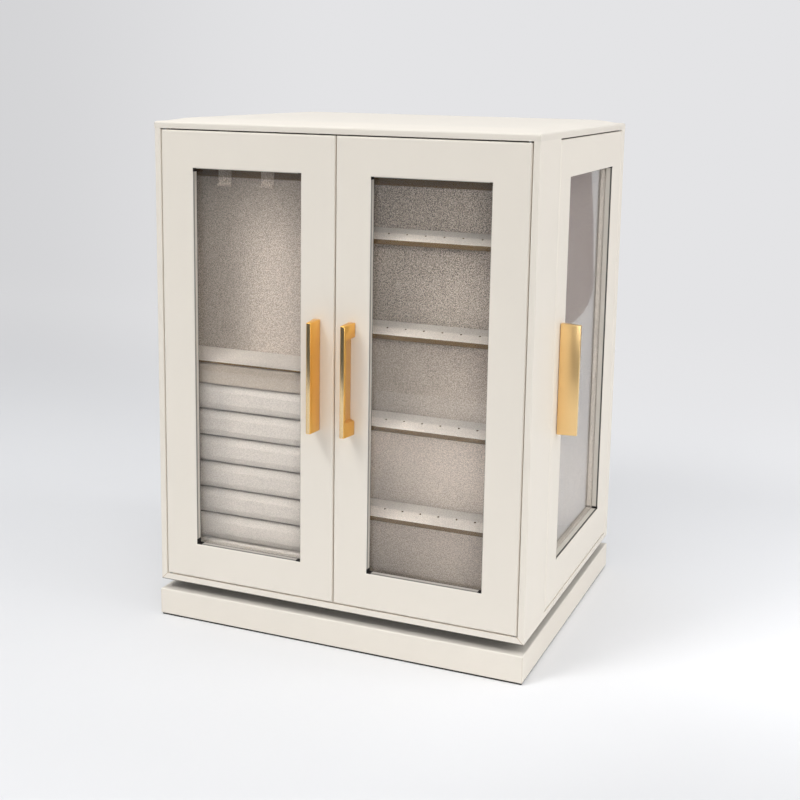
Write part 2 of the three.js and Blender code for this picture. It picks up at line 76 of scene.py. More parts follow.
# The camera, solved from the case's straight edges: its place in metres, its turn in degrees, and its
# focal length and frame in pixels
CAMERA_PLACE = (0.3408, -0.8275, 0.3708)
CAMERA_YAW, CAMERA_PITCH, CAMERA_ROLL = 22.38, -9.93, 0.92
FOCAL_PIXELS, FRAME_PIXELS = 1295, 800


class CabinetSizes(bpy.types.PropertyGroup):
    """Sizes of the finish and of the small pieces."""

    grain: bpy.props.FloatProperty(
        name="Leather grain", description="Width of one pebble of the leather's grain",
        default=0.0007, min=0.0001, unit="LENGTH")
    pile: bpy.props.FloatProperty(
        name="Velvet pile", description="Width of one tuft of the velvet's pile",
        default=0.00062, min=0.0001, unit="LENGTH")
    seam: bpy.props.FloatProperty(
        name="Seam width", description="Width of the line where two leather wraps meet",
        default=0.0003, min=0.0001, unit="LENGTH")
    edge: bpy.props.FloatProperty(
        name="Cast edge", description="Radius of the pulls' polished edges",
        default=0.00035, min=0.0001, unit="LENGTH")
    hatch: bpy.props.FloatProperty(
        name="Hatch pitch", description="Pitch of the fine hatching inside the pulls' pockets",
        default=0.002, min=0.0002, unit="LENGTH")
    puff: bpy.props.FloatProperty(
        name="Roll travel", description="The furthest that a roll's cover moves while it is filled",
        default=0.00035, min=0.0, unit="LENGTH")
    crown: bpy.props.FloatProperty(
        name="Crown reach", description="Width of the slope at the edge of the padded top",
        default=0.018, min=0.002, unit="LENGTH")


class CabinetColours(bpy.types.PropertyGroup):
    """Colours of the finishes, linear."""

    leather: bpy.props.FloatVectorProperty(
        name="Leather", description="Cream coated leather", subtype="COLOR", size=3,
        default=(0.80, 0.745, 0.66), min=0, max=1)
    # Also painted as shade: deep in the front reveals, on the doors' top faces and along the case's foot
    core: bpy.props.FloatVectorProperty(
        name="Board core", description="Dark board that shows where the wrap is slit",
        subtype="COLOR", size=3, default=(0.012, 0.009, 0.007), min=0, max=1)
    velvet: bpy.props.FloatVectorProperty(
        name="Velvet", description="Grey-beige velvet", subtype="COLOR", size=3,
        default=(0.39, 0.329, 0.278), min=0, max=1)
    # Also the painted shadow of the head rail at the top of the bays and on the tabs; the shelves' front
    # edges are painted in it
    board: bpy.props.FloatVectorProperty(
        name="Shelf edge", description="Brown bare board at the shelves' front edges",
        subtype="COLOR", size=3, default=(0.122, 0.074, 0.031), min=0, max=1)
    felt: bpy.props.FloatVectorProperty(
        name="Felt", description="Dark felt under the plinth", subtype="COLOR", size=3,
        default=(0.016, 0.015, 0.014), min=0, max=1)
    gold: bpy.props.FloatVectorProperty(
        name="Gold plating", description="Satin plating of the pulls", subtype="COLOR", size=3,
        default=(0.96, 0.545, 0.13), min=0, max=1)
    pale_gold: bpy.props.FloatVectorProperty(
        name="Pale gold", description="Paler plating of the side pulls", subtype="COLOR", size=3,
        default=(0.96, 0.66, 0.31), min=0, max=1)
    # Paler than the satin plating: polished rims, their colour partly a painted reflection of what they
    # mirror
    rim_gold_with_reflection: bpy.props.FloatVectorProperty(
        name="Rim gold", description="Polished plating of the pulls' front rims", subtype="COLOR", size=3,
        default=(0.86, 0.65, 0.37), min=0, max=1)
    steel: bpy.props.FloatVectorProperty(
        name="Steel", description="Zinc plated steel", subtype="COLOR", size=3,
        default=(0.55, 0.55, 0.56), min=0, max=1)
    floor: bpy.props.FloatVectorProperty(
        name="Floor", description="Studio sweep", subtype="COLOR", size=3,
        default=(0.775, 0.775, 0.78), min=0, max=1)


class Value:
    """A socket, wrapped so that shader maths reads as an expression."""

    def __init__(self, paint, socket):
        self.paint = paint
        self.socket = socket

    def out(self, name):
        return Value(self.paint, self.socket.node.outputs[name])

    def maths(self, operation, *others):
        return self.paint.node("ShaderNodeMath", {"operation": operation}, dict(enumerate((self, *others))))

    def __add__(self, other):
        return self.maths("ADD", other)

    __radd__ = __add__

    def __mul__(self, other):
        return self.maths("MULTIPLY", other)

    __rmul__ = __mul__

    def __sub__(self, other):
        return self.maths("SUBTRACT", other)

    def __rsub__(self, other):
        return self.paint.node("ShaderNodeMath", {"operation": "SUBTRACT"}, {0: other, 1: self})

    def __truediv__(self, other):
        return self.maths("DIVIDE", other)

    def __lt__(self, other):
        return self.maths("LESS_THAN", other)

    def __gt__(self, other):
        return self.maths("GREATER_THAN", other)

    def __abs__(self):
        return self.maths("ABSOLUTE")

    def lower(self, other):
        return self.maths("MINIMUM", other)

    def higher(self, other):
        return self.maths("MAXIMUM", other)


class Paint:
    """The nodes of one material, or of the world, built one by one."""

    def __init__(self, name, world=False):
        self.owner = bpy.data.worlds.new(name) if world else bpy.data.materials.new(name)
        self.end = "ShaderNodeOutputWorld" if world else "ShaderNodeOutputMaterial"
        self.owner.use_nodes = True
        self.tree = self.owner.node_tree
        self.tree.nodes.clear()

    def node(self, kind, settings=None, inputs=None, output=0):
        """Adds a node. Its settings are set first, then the values or links of its sockets."""
        node = self.tree.nodes.new(kind)
        for key, value in (settings or {}).items():
            setattr(node, key, value)
        for key, value in (inputs or {}).items():
            if isinstance(value, Value):
                self.tree.links.new(value.socket, node.inputs[key])
            else:
                node.inputs[key].default_value = value
        return Value(self, node.outputs[output])

    def place(self):
        """The object's own coordinates, in metres, and their three parts."""
        place = self.node("ShaderNodeTexCoord", output="Object")
        parts = self.node("ShaderNodeSeparateXYZ", inputs={0: place})
        return place, parts.out("X"), parts.out("Y"), parts.out("Z")

    def noise(self, place, size, detail=2.0, rough=0.5):
        return self.node("ShaderNodeTexNoise", inputs={
            "Vector": place, "Scale": 1 / size, "Detail": detail, "Roughness": rough}, output="Fac")

    def span(self, value, low, high, to_low=0.0, to_high=1.0):
        """A smooth step from one tone to another while the value runs from low to high."""
        return self.node("ShaderNodeMapRange", {"interpolation_type": "SMOOTHSTEP"}, {
            "Value": value, "From Min": low, "From Max": high,
            "To Min": to_low, "To Max": to_high}, "Result")

    def mix(self, factor, first, second, kind="MIX"):
        return self.node("ShaderNodeMix", {"data_type": "RGBA", "blend_type": kind}, {
            0: factor, 6: rgba(first), 7: rgba(second)}, 2)

    def grey(self, tone):
        return self.node("ShaderNodeCombineColor", inputs={"Red": tone, "Green": tone, "Blue": tone})

    def bump(self, height, strength, distance):
        return self.node("ShaderNodeBump", inputs={
            "Height": height, "Strength": strength, "Distance": distance}, output="Normal")

    def surface(self, **inputs):
        named = {key.replace("_", " "): value for key, value in inputs.items()}
        return self.node("ShaderNodeBsdfPrincipled", inputs=named, output="BSDF")

    def done(self, shader):
        """Joins the shader to the output, and returns the material or the world."""
        self.tree.links.new(shader.socket, self.tree.nodes.new(self.end).inputs["Surface"])
        return self.owner


def rgba(colour):
    """A colour with its alpha, or the link that carries one."""
    return colour if isinstance(colour, Value) else (*colour[:3], 1.0)


def sizes():
    """The sizes that a user can change."""
    return bpy.context.scene.cabinet_sizes


def colours():
    """The colours that a user can change."""
    return bpy.context.scene.cabinet_colours


def dress(node, material):
    """Gives a CAD node's object one material."""
    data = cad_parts[node].data
    data.materials.clear()
    data.materials.append(material)


def link(name, data):
    """A new object in the scene."""
    thing = bpy.data.objects.new(name, data)
    bpy.context.scene.collection.objects.link(thing)
    return thing


def from_bmesh(name, form, material, sharp=35):
    """A new object from a bmesh, smooth but for edges sharper than the given angle."""
    bmesh.ops.recalc_face_normals(form, faces=form.faces)
    mesh = bpy.data.meshes.new(name)
    form.to_mesh(mesh)
    form.free()
    mesh.shade_smooth()
    mesh.set_sharp_from_angle(angle=math.radians(sharp))
    mesh.materials.append(material)
    return link(name, mesh)


def form_of(node):
    """A bmesh of a CAD node's solid, its flat faces whole again."""
    form = bmesh.new()
    form.from_mesh(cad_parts[node].data)
    bmesh.ops.remove_doubles(form, verts=form.verts, dist=1e-6)
    bmesh.ops.dissolve_limit(form, angle_limit=0.01, verts=form.verts, edges=form.edges)
    return form


def block_into(form, low, high):
    """Adds a block between two corners to a bmesh."""
    low, high = Vector(low), Vector(high)
    half = Vector((0.5, 0.5, 0.5))
    for vertex in bmesh.ops.create_cube(form, size=1.0)["verts"]:
        vertex.co = low + (vertex.co + half) * (high - low)


def round_edges(form, radius, segments, edges=None):
    """Rounds the given edges, or else every edge that is sharper than 30 degrees."""
    chosen = edges or [edge for edge in form.edges
                       if len(edge.link_faces) == 2 and edge.calc_face_angle() > math.radians(30)]
    bmesh.ops.bevel(form, geom=chosen, offset=radius, segments=segments, profile=0.5, affect="EDGES",
                    clamp_overlap=True)


def disc_into(form, radius, depth, centre, axis):
    """Adds a closed cylinder to a bmesh, its axis along the given direction."""
    turn = Vector((0, 0, 1)).rotation_difference(Vector(axis)).to_matrix().to_4x4()
    bmesh.ops.create_cone(form, cap_ends=True, segments=24, radius1=radius, radius2=radius,
                          depth=depth, matrix=Matrix.Translation(Vector(centre)) @ turn)


# Finishes

def leather(name, marks):
    """Coated leather with a fine pebble grain. marks gives grooves and painted gap shade, the dark board
    colour, also used as painted shade, and a tone.
    """
    paint = Paint(name)
    place, x, y, z = paint.place()
    size = sizes()
    pebble = paint.node("ShaderNodeTexVoronoi", {"feature": "SMOOTH_F1"}, {
        "Vector": place, "Scale": 1 / size.grain, "Smoothness": 0.6}, "Distance")
    crease = paint.noise(place, size.grain * 0.45)
    cloud = paint.noise(place, 0.045)
    tone = 0.985 + cloud * 0.03
    height = pebble * 0.7 + crease * 0.3
    clouded = paint.node("ShaderNodeCombineColor", inputs={
        "Red": tone, "Green": tone * (1.002 - cloud * 0.006), "Blue": tone * (1.004 - cloud * 0.012)})
    colour = paint.mix(1.0, colours().leather, clouded, "MULTIPLY")
    roughness = 0.44 + pebble * 0.10 + cloud * 0.04
    groove, core, shade = marks(paint, x, y, z)
    colour = paint.mix(1.0, colour, paint.grey(shade), "MULTIPLY")
    # Tan for the seams, and painted shade for the shaded gaps between the doors
    seam_and_gap_shade = (0.46, 0.31, 0.18)
    colour = paint.mix(groove * 0.72, colour, seam_and_gap_shade)
    colour = paint.mix(core, colour, colours().core)
    height = height - groove * 3.0
    roughness = roughness + core * 0.4
    normal = paint.bump(height, 0.16, 0.00018)
    shader = paint.surface(Base_Color=colour, Roughness=roughness, Normal=normal, Specular_IOR_Level=0.42)
    return paint.done(shader)


def line_mask(paint, distance, width):
    """One on the line where the distance is zero, fading out within the given width."""
    return paint.span(abs(distance), width * 0.35, width, 1.0, 0.0)


def case_marks(paint, x, y, z):
    """Mitred wraps at the corners of the case's front, a turned seam down its back, and painted shade along
    its foot for the dark gap above the plinth.
    """
    low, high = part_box("case_bottom")[0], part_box("case_front_side_right")[1]
    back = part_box("case_back")[1].y
    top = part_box("case_top")[0].z + (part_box("case_bottom")[1].z - low.z)
    width = sizes().seam
    mitre_length, seam_inset, front_skin, back_skin = 0.0052, 0.007, 0.0006, 0.0004
    # Painted shade: a near-black band along the case's foot
    foot_gap_shade = (0.0005, 0.0008)
    across = high.x - abs(x)
    rise = (z - low.z).lower(top - z)
    near = (across < mitre_length) * (rise < mitre_length) * (y < low.y + front_skin)
    mitre = line_mask(paint, across - rise, width * 1.2) * near
    seam = line_mask(paint, across.lower(rise) - seam_inset, width) * (y > back - back_skin)
    foot = paint.span(z - low.z, *foot_gap_shade, 1.0, 0.0)
    return mitre.higher(seam), foot, 1.0


def plinth_marks(paint, x, y, z):
    """The plinth's wrap is folded at its upright corners."""
    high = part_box("plinth_board")[1]
    across = high.x - abs(x)
    along = high.y - abs(y)
    inset, turn, margin = 0.0004, 0.0007, 0.001
    fold = line_mask(paint, across - inset, sizes().seam) * (along < turn) * (z < high.z - margin)
    return fold * 0.4, 0.0, 1.0


def door_marks(door):
    """A door's wrap: slit corners and a dark line round its window, turned edges behind, and painted shade in
    its reveals, on its sill, top face and outer edge faces.
    """
    front = door in FRONT_DOORS
    frame_low, frame_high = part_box(f"{door}_frame")
    glass_low, glass_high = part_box(f"{door}_glass")
    seat, seam_inset, slack, skin = 0.0087, 0.006, 0.0005, 0.0003
    notch = {"front_door_left": 0.0033, "front_door_right": 0.0025}.get(door, 0.0013)
    dimmed, at_front = (0.62, 1.0) if front else (0.9, 0.0)
    edge_width, sill_height, face_depth, back_depth = 0.0002, 0.0004, 0.0012, 0.0106
    # Depths over which the dark line starts and ends, and where the painted shade deep in the front reveals
    # and on the top face starts
    line_start, line_end, heel_start, top_shade_start = (
        (0.0003, 0.0005), (0.0013, 0.0016), (0.0039, 0.0043), (0.0007, 0.001))

    def marks(paint, x, y, z):
        if front:
            along, low, high = x, glass_low.x + seat, glass_high.x - seat
            depth = y - frame_low.y
            edge_low, edge_high = frame_low.x, frame_high.x
        else:
            along, low, high = y, glass_low.y + seat, glass_high.y - seat
            depth = frame_high.x - x if door == "side_door_right" else x - frame_low.x
            edge_low, edge_high = frame_low.y, frame_high.y
        foot, head = glass_low.z + seat, glass_high.z - seat
        beside = (along - low).lower(high - along)
        upward = (z - foot).lower(head - z)
        inside = (beside > -slack) * (upward > -slack) * (depth > skin)
        corner = beside.higher(upward)
        slit = paint.span(corner, notch * 0.9, notch * 1.05, 1.0, 0.0)
        short = paint.span(corner, notch * 0.55, notch * 0.65, 1.0, 0.0)
        slit = slit * paint.span(z, foot + notch, head - notch, 1.0, 0.0).higher(short)
        line = paint.span(depth, *line_start) * paint.span(depth, *line_end, 1.0, 0.0) * dimmed
        # Painted shadow deep in the front reveals, where they meet the glass
        heel_shade = paint.span(depth, *heel_start) * at_front
        # Painted shade on the top face behind its front edge, for the dark gap under the padded top
        roof_shade = (z > frame_high.z - skin) * paint.span(depth, *top_shade_start)
        core = inside * slit.higher(line).higher(heel_shade)
        core = core.higher(roof_shade * 0.85)
        rim = (along - edge_low).lower(edge_high - along)
        rim = rim.lower((z - frame_low.z).lower(frame_high.z - z))
        turned = line_mask(paint, rim - seam_inset, sizes().seam) * (depth > back_depth)
        # Painted shade: the outer edge faces take the seams' tan, for the shaded gaps between the doors
        edge = (rim < edge_width) * (depth > face_depth)
        # Painted shade: the reveals are toned a tenth darker, and the front sills 30 percent more, against
        # the light from above
        sill_shade = inside * (z < foot + sill_height) * at_front
        tone = 1.0 - inside * 0.1 - sill_shade * 0.3
        return turned.higher(edge * 0.5), core, tone

    return marks


def top_marks(paint, x, y, z):
    """The padded top is plain, with painted shade: toned a little darker than the rest against the light from
    above.
    """
    return 0.0, 0.0, 0.94


def velvet(name, tone=1.0, shade=None, speckle=1.0, tint=(1.0, 1.0, 1.0)):
    """Short-pile velvet: tufts, brushed patches and a soft sheen.

    shade gives a tone, mostly painted light and shade, and how much the dark brown shows, and speckle is the
    tufts' contrast or gives it."""
    base = [part * share for part, share in zip(colours().velvet, tint)]
    paint = Paint(name)
    place, x, y, z = paint.place()
    size = sizes()
    tuft = paint.span(paint.noise(place, size.pile, 2.0, 0.6), 0.28, 0.72)
    fine = paint.noise(place, size.pile * 0.4, 2.0, 0.6)
    brushed = paint.noise(place, 0.014, 3.0, 0.55)
    contrast = speckle(paint, z) if callable(speckle) else speckle
    level = 0.91 + (tuft - 0.5) * contrast + fine * 0.10 + brushed * 0.08
    dimmed = 0.0
    if shade is not None:
        local, dimmed = shade(paint, x, y, z)
        level = level * local
    colour = paint.mix(1.0, base, paint.grey(level * tone), "MULTIPLY")
    # The dark brown: painted shadow under the head rail, and the shelves' front edges
    colour = paint.mix(dimmed, colour, colours().board)
    normal = paint.bump(tuft * 0.6 + fine * 0.4, 0.4, 0.0004)
    shader = paint.surface(Base_Color=colour, Roughness=0.92, Normal=normal, Specular_IOR_Level=0.15,
                           Sheen_Weight=0.06, Sheen_Roughness=0.45, Sheen_Tint=(0.95, 0.9, 0.85, 1.0))
    return paint.done(shader)


def front_edge(paint):
    """One on faces that look forward."""
    normal = paint.node("ShaderNodeTexCoord", output="Normal")
    ahead = paint.node("ShaderNodeSeparateXYZ", inputs={0: normal}).out("Y")
    return paint.span(ahead, -0.75, -0.6, 1.0, 0.0)


# Velvet shades: each gives a tone, mostly painted light and shade, and how much dark brown shows, from a
# place in metres

def shelf_shade(paint, x, y, z):
    """A stud shelf has painted light along its front and towards its left end, where the stile shades it, and
    its front edge is painted dark brown.
    """
    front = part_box("stud_shelf_1")[0].y
    stripe = paint.span(y, front + 0.0085, front + 0.0115, 1.0, 0.0)
    return (0.93 + stripe * 0.28) * paint.span(x, 0.03, 0.085, 1.38, 1.0), front_edge(paint)


def ring_shelf_shade(paint, x, y, z):
    """The ring shelf's top has painted light towards the hinge side and painted shade along its front, and
    its front edge is painted dark brown.
    """
    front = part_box("ring_shelf")[0].y
    level = paint.span(x, -0.1, -0.055, 1.3, 0.93) * paint.span(y, front + 0.001, front + 0.007, 0.9, 1.0)
    return level, front_edge(paint)


def head_strip_shade(paint, x, y, z):
    """The strip above the rolls has painted shade towards its head, under the ring shelf."""
    low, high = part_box("ring_head_strip")
    return paint.span(z, low.z, high.z, 0.92, 0.66), 0.0


def roll_shade(paint, x, y, z):
    """Painted shade on the rolls: each is darker in its creases and at its head, and all are darker at the
    hinge side and the foot.
    """
    low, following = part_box("ring_roll_1")[0].z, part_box("ring_roll_2")[0].z
    share = ((z - low) / (following - low)).maths("FRACT")
    crease = paint.span(abs(share - 0.492), 0.455, 0.486, 1.0, 0.66)
    head = paint.span(share, 0.8, 0.975, 1.0, 0.82)
    hinge = paint.span(x, -0.092, -0.074, 0.82, 1.0)
    foot = paint.span(z, 0.054, 0.066, 0.8, 1.0)
    return crease * head * hinge * foot, 0.0


def head_rail_shadow(paint, z):
    """Painted shadow of the head rail: the velvet turns dark brown above a line just below the window's head.
    """
    drop, fade_below, fade_above = 0.0163, 0.0002, 0.0006
    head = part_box("front_door_right_glass")[1].z - drop
    return paint.span(z, head - fade_below, head + fade_above)


def left_wall_shade(paint, x, y, z):
    """The wall above the ring shelf has painted light towards the middle of the case, painted shade towards
    its head, and the painted shadow of the head rail.
    """
    level = paint.span(x, -0.098, -0.062, 0.86, 1.17) * paint.span(z, 0.305, 0.25, 0.78, 1.0)
    return level, head_rail_shadow(paint, z) * 0.9


def right_wall_shade(paint, x, y, z):
    """The wall behind the stud shelves has its own tone in each bay, painted light towards each bay's head
    against the shelf's shadow, painted shade towards the middle of the case, and the painted shadow of the
    head rail.
    """
    first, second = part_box("stud_shelf_1")[0].z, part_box("stud_shelf_2")[0].z
    pitch, thickness = second - first, 0.004
    bay = (z - first - thickness) / pitch + 1.0
    climb = bay.maths("FRACT")
    level = 1.08 + (bay > 1.0) * 0.2 - (bay > 2.0) * 0.3 - (bay > 3.0) * 0.1 - (bay > 4.0) * 0.1
    swing = 0.68 - (bay > 2.0) * 0.38
    level = level * (1.0 + (climb - 0.5) * swing) * paint.span(x, 0.03, 0.1, 0.9, 1.13)
    return level, head_rail_shadow(paint, z) * 0.95


def right_wall_speckle(paint, z):
    """The pile shows more in the upper bays."""
    return paint.span(z, 0.14, 0.27, 0.75, 1.7)


def rear_shade(paint, x, y, z):
    """The rear bays' velvet has painted light towards the foot and towards the side doors, where the jambs
    shade it.
    """
    foot = paint.span(z, 0.12, 0.055, 0.94, 1.28)
    side = paint.span(abs(x), 0.095, 0.114, 0.92, 1.12) + (abs(x) > 0.1186) * 0.14
    return (foot * side).lower(1.3), 0.0


def tab_shade(paint, x, y, z):
    """The tabs hang at the ceiling, and are dimmed there by the painted shadow of the head rail."""
    return 1.0, head_rail_shadow(paint, z) * 0.45


def felt_finish():
    """Dense felt, its fibres lighter and darker."""
    paint = Paint("felt")
    place, *_ = paint.place()
    fibre = paint.noise(place, 0.0006, 4.0, 0.7)
    tone = 0.6 + fibre * 0.8
    colour = paint.mix(1.0, colours().felt, paint.grey(tone), "MULTIPLY")
    normal = paint.bump(fibre, 0.6, 0.0003)
    return paint.done(paint.surface(Base_Color=colour, Roughness=0.95, Normal=normal))


def pane_finish():
    """Clear panes: they bend and mirror what the eye sees, and let the lamps' light through."""
    paint = Paint("pane")
    place, *_ = paint.place()
    smear = paint.noise(place, 0.03)
    glass = paint.surface(Base_Color=(1.0, 1.0, 1.0, 1.0), Roughness=smear * 0.02, IOR=1.46,
                          Transmission_Weight=1.0)
    clear = paint.node("ShaderNodeBsdfTransparent", inputs={"Color": (0.93, 0.94, 0.93, 1.0)})
    through = paint.node("ShaderNodeLightPath", output="Is Shadow Ray")
    return paint.done(paint.node("ShaderNodeMixShader", inputs={0: through, 1: glass, 2: clear}))


def gold_finish(name, colour, rough=0.27, hatched=False, metal=1.0):
    """Gold plating, brushed along the pull, or finely hatched inside its pocket."""
    paint = Paint(name)
    place, x, y, z = paint.place()
    stretched = paint.node("ShaderNodeMapping", inputs={"Vector": place, "Scale": (1.0, 1.0, 0.08)})
    brushed = paint.noise(stretched, 0.00035, 3.0, 0.6)
    cloud = paint.noise(place, 0.012)
    grit = paint.noise(place, 0.0005)
    tone = 0.94 + cloud * 0.06 + brushed * 0.05
    height = brushed * 0.5 + grit * 0.5
    strength = 0.12
    if hatched:
        turn = 2 * math.pi / sizes().hatch
        hatching = ((z + x + y) * turn).maths("SINE")
        tone = tone * (0.8 + hatching * 0.4)
        height = height * 0.3 + hatching * 0.5
        strength = 0.3
    colour = paint.mix(1.0, colour, paint.grey(tone), "MULTIPLY")
    shader = paint.surface(Base_Color=colour, Metallic=metal, Roughness=rough + grit * 0.1,
                           Normal=paint.bump(height, strength, 0.00012))
    return paint.done(shader)


def steel_finish():
    """Zinc plating with a faint spangle, about 4 mm across."""
    paint = Paint("steel")
    place, *_ = paint.place()
    spangle = paint.node("ShaderNodeTexVoronoi", inputs={
        "Vector": place, "Scale": 250.0}, output="Distance")
    grit = paint.noise(place, 0.0004)
    tone = 0.88 + spangle * 0.14
    colour = paint.mix(1.0, colours().steel, paint.grey(tone), "MULTIPLY")
    roughness = 0.3 + spangle * 0.12 + grit * 0.06
    normal = paint.bump(grit, 0.15, 0.0001)
    return paint.done(paint.surface(Base_Color=colour, Metallic=1.0, Roughness=roughness, Normal=normal))


# Pieces

class CABINET_OT_leather(bpy.types.Operator):
    """Wraps the case, the plinth and the door frames in cream leather"""

    bl_idname = "cabinet.leather"
    bl_label = "Leather wraps"

    def execute(self, context):
        case = leather("leather_case", case_marks)
        for node in CASE_FRONT + CASE_REST:
            dress(node, case)
        dress("plinth_board", leather("leather_plinth", plinth_marks))
        dress("plinth_felt", felt_finish())
        for door in DOORS:
            dress(f"{door}_frame", leather(f"leather_{door}", door_marks(door)))
        return {"FINISHED"}


class CABINET_OT_top(bpy.types.Operator):
    """Builds the padded top: a wrapped board whose cover rises in a low crown from its edges"""

    bl_idname = "cabinet.top"
    bl_label = "Padded top"

    def execute(self, context):
        low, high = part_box("case_top")
        edge_rise, radius, step, fullness = 0.0045, 0.0016, 0.012, 1.15
        edge_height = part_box("case_front_side_right")[1].z + edge_rise
        crown = high.z - edge_height
        reach = sizes().crown
        insets = [radius * share for share in (0.0, 0.06, 0.2, 0.45, 0.7, 1.0)]
        insets += [radius + reach * share for share in (0.06, 0.14, 0.24, 0.36, 0.5, 0.66, 0.82, 1.0)]
        along_x = self.stations(low.x, high.x, insets, step)
        along_y = self.stations(low.y, high.y, insets, step)

        def slope(inset):
            share = min(1.0, max(0.0, (inset - radius) / reach))
            return math.sin(share * math.pi / 2) ** fullness

        def height(x, y):
            in_x = min(x - low.x, high.x - x)
            in_y = min(y - low.y, high.y - y)
            rim = min(in_x, in_y)
            drop = radius - math.sqrt(max(0.0, radius ** 2 - max(0.0, radius - rim) ** 2))
            return edge_height - drop + crown * slope(in_x) * slope(in_y)

        form = bmesh.new()
        rows = [[form.verts.new((x, y, height(x, y))) for x in along_x] for y in along_y]
        for row, above in zip(rows, rows[1:]):
            for a, b, c, d in zip(row, row[1:], above[1:], above):
                form.faces.new((a, b, c, d))
        rim = [edge for edge in form.edges if edge.is_boundary]
        skirt = bmesh.ops.extrude_edge_only(form, edges=rim)["geom"]
        for item in skirt:
            if isinstance(item, bmesh.types.BMVert):
                item.co.z = low.z
        bmesh.ops.contextual_create(form, geom=[edge for edge in form.edges if edge.is_boundary])
        top = from_bmesh("padded_top", form, leather("leather_top", top_marks), 50)
        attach(top, "case")
        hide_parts("case_top")
        return {"FINISHED"}

    def stations(self, low, high, insets, step):
        """Places from one edge to the other: close together in the rounded edges and the slopes."""
        first, last = low + insets[-1], high - insets[-1]
        count = max(1, round((last - first) / step))
        middle = [first + (last - first) * index / count for index in range(1, count)]
        return [low + inset for inset in insets] + middle + [high - inset for inset in reversed(insets)]


class CABINET_OT_velvet(bpy.types.Operator):
    """Lines the bays and covers the shelves, tabs and pane retainers with velvet"""

    bl_idname = "cabinet.velvet"
    bl_label = "Velvet linings"

    def execute(self, context):
        lining = velvet("velvet_lining")
        # The rear bays' velvet, also on the side retainers, is toned much lighter and cooler: painted light
        # for the dim rear bays, and a tint standing in for the pale reflection in the side panes
        rear = velvet("velvet_rear", 1.75, rear_shade, 0.6, (1.0, 1.07, 1.15))
        tab = velvet("velvet_tab", 1.35, tab_shade)
        shelf = velvet("velvet_shelf", 1.08, shelf_shade, 0.4, COOL_TINT)
        for node in ("partition", "rear_divider", "side_lining_left", "side_lining_right"):
            dress(node, rear)
        for node in TABS:
            dress(node, tab)
        for node in SHELVES:
            dress(node, shelf)
        dress("front_divider", lining)
        dress("display_lining_left", velvet("velvet_left_wall", 1.0, left_wall_shade))
        dress("display_lining_right", velvet("velvet_right_wall", 1.0, right_wall_shade, right_wall_speckle))
        # Toned lighter: painted light on the ring shelf's lit top
        dress("ring_shelf", velvet("velvet_ring_shelf", 1.38, ring_shelf_shade, 0.35, COOL_TINT))
        for door in DOORS:
            dress(f"{door}_retainer", lining if door in FRONT_DOORS else rear)
        return {"FINISHED"}


